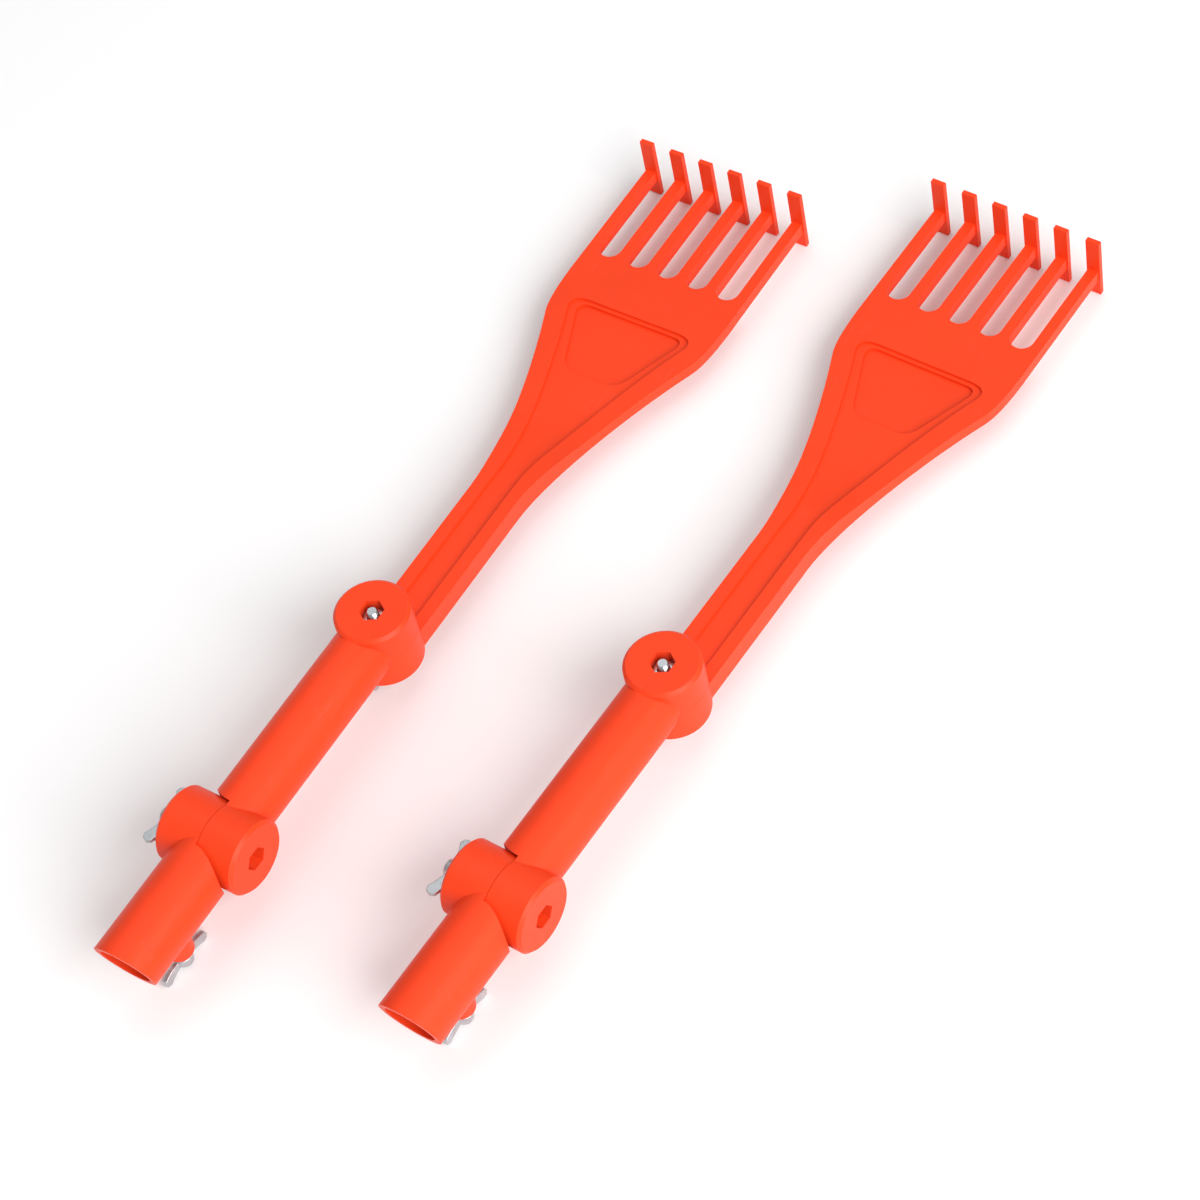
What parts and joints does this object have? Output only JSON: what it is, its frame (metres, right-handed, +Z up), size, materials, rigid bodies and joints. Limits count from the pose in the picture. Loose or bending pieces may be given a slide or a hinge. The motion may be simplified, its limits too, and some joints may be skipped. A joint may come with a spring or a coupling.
{
  "type": "leaf grabber hands",
  "caption": "Rake-headed leaf grabbing hands, each with a yaw knuckle, a pitch knuckle, wing screws and a socket for a pole.",
  "frame": {"origin": "centre of the bounding box's base, on the ground that the pair lies on", "axes": "+Y along the tools from sockets to tines, +X across the blades from the first hand to the second, +Z up"},
  "size_m": [0.2474, 0.562, 0.0599],
  "materials": {
    "orange_plastic": "smooth moulded, semi-gloss",
    "zinc_steel": "bright zinc plate",
    "cast_zinc": "die-cast, satin",
    "brass": "turned"
  },
  "bodies": {
    "left_pole_socket": {"left_pole_socket": "orange_plastic", "left_clamp_insert": "brass"},
    "left_neck_link": {"left_neck_link": "orange_plastic", "left_pitch_nut": "zinc_steel", "left_yaw_nut": "zinc_steel"},
    "left_rake_head": {"left_rake_head": "orange_plastic"},
    "left_yaw_screw": {"left_yaw_stud": "zinc_steel", "left_yaw_washer": "zinc_steel"},
    "left_yaw_wings": {"left_yaw_wings": "cast_zinc"},
    "left_pitch_screw": {"left_pitch_stud": "zinc_steel", "left_pitch_washer": "zinc_steel"},
    "left_pitch_wings": {"left_pitch_wings": "cast_zinc"},
    "left_clamp_screw": {"left_clamp_stud": "zinc_steel"},
    "left_clamp_wings": {"left_clamp_wings": "cast_zinc"},
    "right_pole_socket": {"right_pole_socket": "orange_plastic", "right_clamp_insert": "brass"},
    "right_neck_link": {"right_neck_link": "orange_plastic", "right_pitch_nut": "zinc_steel", "right_yaw_nut": "zinc_steel"},
    "right_rake_head": {"right_rake_head": "orange_plastic"},
    "right_yaw_screw": {"right_yaw_stud": "zinc_steel", "right_yaw_washer": "zinc_steel"},
    "right_yaw_wings": {"right_yaw_wings": "cast_zinc"},
    "right_pitch_screw": {"right_pitch_stud": "zinc_steel", "right_pitch_washer": "zinc_steel"},
    "right_pitch_wings": {"right_pitch_wings": "cast_zinc"},
    "right_clamp_screw": {"right_clamp_stud": "zinc_steel"},
    "right_clamp_wings": {"right_clamp_wings": "cast_zinc"}
  },
  "joints": [
    {"name": "left_pitch_pivot", "type": "hinge", "parent": "left_pole_socket", "child": "left_neck_link", "pos_m": [-0.07576, -0.20453, 0.04117], "axis": [1, 0, 0], "range_deg": [-75, 75]},
    {"name": "left_yaw_pivot", "type": "hinge", "parent": "left_neck_link", "child": "left_rake_head", "pos_m": [-0.07576, -0.07407, 0.03819], "axis": [0, 0.0229, 0.9997], "range_deg": [-9, 90]},
    {"name": "left_pitch_screw_travel", "type": "slide", "parent": "left_neck_link", "child": "left_pitch_screw", "axis": [-1, 0, 0], "range_m": [0, 0.003]},
    {"name": "left_pitch_wing_turn", "type": "hinge", "parent": "left_pitch_screw", "child": "left_pitch_wings", "pos_m": [-0.10376, -0.20453, 0.04117], "axis": [-1, 0, 0], "range_deg": [-6, 1086]},
    {"name": "left_yaw_screw_travel", "type": "slide", "parent": "left_neck_link", "child": "left_yaw_screw", "axis": [0, -0.0229, -0.9997], "range_m": [0, 0.003]},
    {"name": "left_yaw_wing_turn", "type": "hinge", "parent": "left_yaw_screw", "child": "left_yaw_wings", "pos_m": [-0.07576, -0.07471, 0.01019], "axis": [0, -0.0229, -0.9997], "range_deg": [-6, 1086]},
    {"name": "left_clamp_screw_travel", "type": "slide", "parent": "left_pole_socket", "child": "left_clamp_screw", "axis": [0, -0.0229, -0.9997], "range_m": [-0.002, 0.004]},
    {"name": "left_clamp_wing_turn", "type": "hinge", "parent": "left_clamp_screw", "child": "left_clamp_wings", "pos_m": [-0.07576, -0.24939, 0.00419], "axis": [0, -0.0229, -0.9997], "range_deg": [-726, 1446]},
    {"name": "right_pitch_pivot", "type": "hinge", "parent": "right_pole_socket", "child": "right_neck_link", "pos_m": [0.05934, -0.16963, 0.04117], "axis": [0.9993, -0.0366, 0], "range_deg": [-75, 75]},
    {"name": "right_yaw_pivot", "type": "hinge", "parent": "right_neck_link", "child": "right_rake_head", "pos_m": [0.06412, -0.03925, 0.03819], "axis": [0.0008, 0.0229, 0.9997], "range_deg": [-90, 9]},
    {"name": "right_pitch_screw_travel", "type": "slide", "parent": "right_neck_link", "child": "right_pitch_screw", "axis": [-0.9993, 0.0366, 0], "range_m": [0, 0.003]},
    {"name": "right_pitch_wing_turn", "type": "hinge", "parent": "right_pitch_screw", "child": "right_pitch_wings", "pos_m": [0.03135, -0.16861, 0.04117], "axis": [-0.9993, 0.0366, 0], "range_deg": [-6, 1086]},
    {"name": "right_yaw_screw_travel", "type": "slide", "parent": "right_neck_link", "child": "right_yaw_screw", "axis": [-0.0008, -0.0229, -0.9997], "range_m": [0, 0.003]},
    {"name": "right_yaw_wing_turn", "type": "hinge", "parent": "right_yaw_screw", "child": "right_yaw_wings", "pos_m": [0.06409, -0.03989, 0.01019], "axis": [-0.0008, -0.0229, -0.9997], "range_deg": [-6, 1086]},
    {"name": "right_clamp_screw_travel", "type": "slide", "parent": "right_pole_socket", "child": "right_clamp_screw", "axis": [-0.0008, -0.0229, -0.9997], "range_m": [-0.002, 0.004]},
    {"name": "right_clamp_wing_turn", "type": "hinge", "parent": "right_clamp_screw", "child": "right_clamp_wings", "pos_m": [0.05769, -0.21446, 0.00419], "axis": [-0.0008, -0.0229, -0.9997], "range_deg": [-726, 1446]},
    {"name": "hands_apart", "type": "slide", "parent": "left_pole_socket", "child": "right_pole_socket", "axis": [1, 0, 0], "range_m": [0, 0.3]}
  ],
  "couplings": [
    {"joint": "left_pitch_wing_turn", "follows": "left_pitch_screw_travel", "rad_per_m": 6283.2},
    {"joint": "left_yaw_wing_turn", "follows": "left_yaw_screw_travel", "rad_per_m": 6283.2},
    {"joint": "left_clamp_wing_turn", "follows": "left_clamp_screw_travel", "rad_per_m": 6283.2},
    {"joint": "right_pitch_wing_turn", "follows": "right_pitch_screw_travel", "rad_per_m": 6283.2},
    {"joint": "right_yaw_wing_turn", "follows": "right_yaw_screw_travel", "rad_per_m": 6283.2},
    {"joint": "right_clamp_wing_turn", "follows": "right_clamp_screw_travel", "rad_per_m": 6283.2}
  ]
}
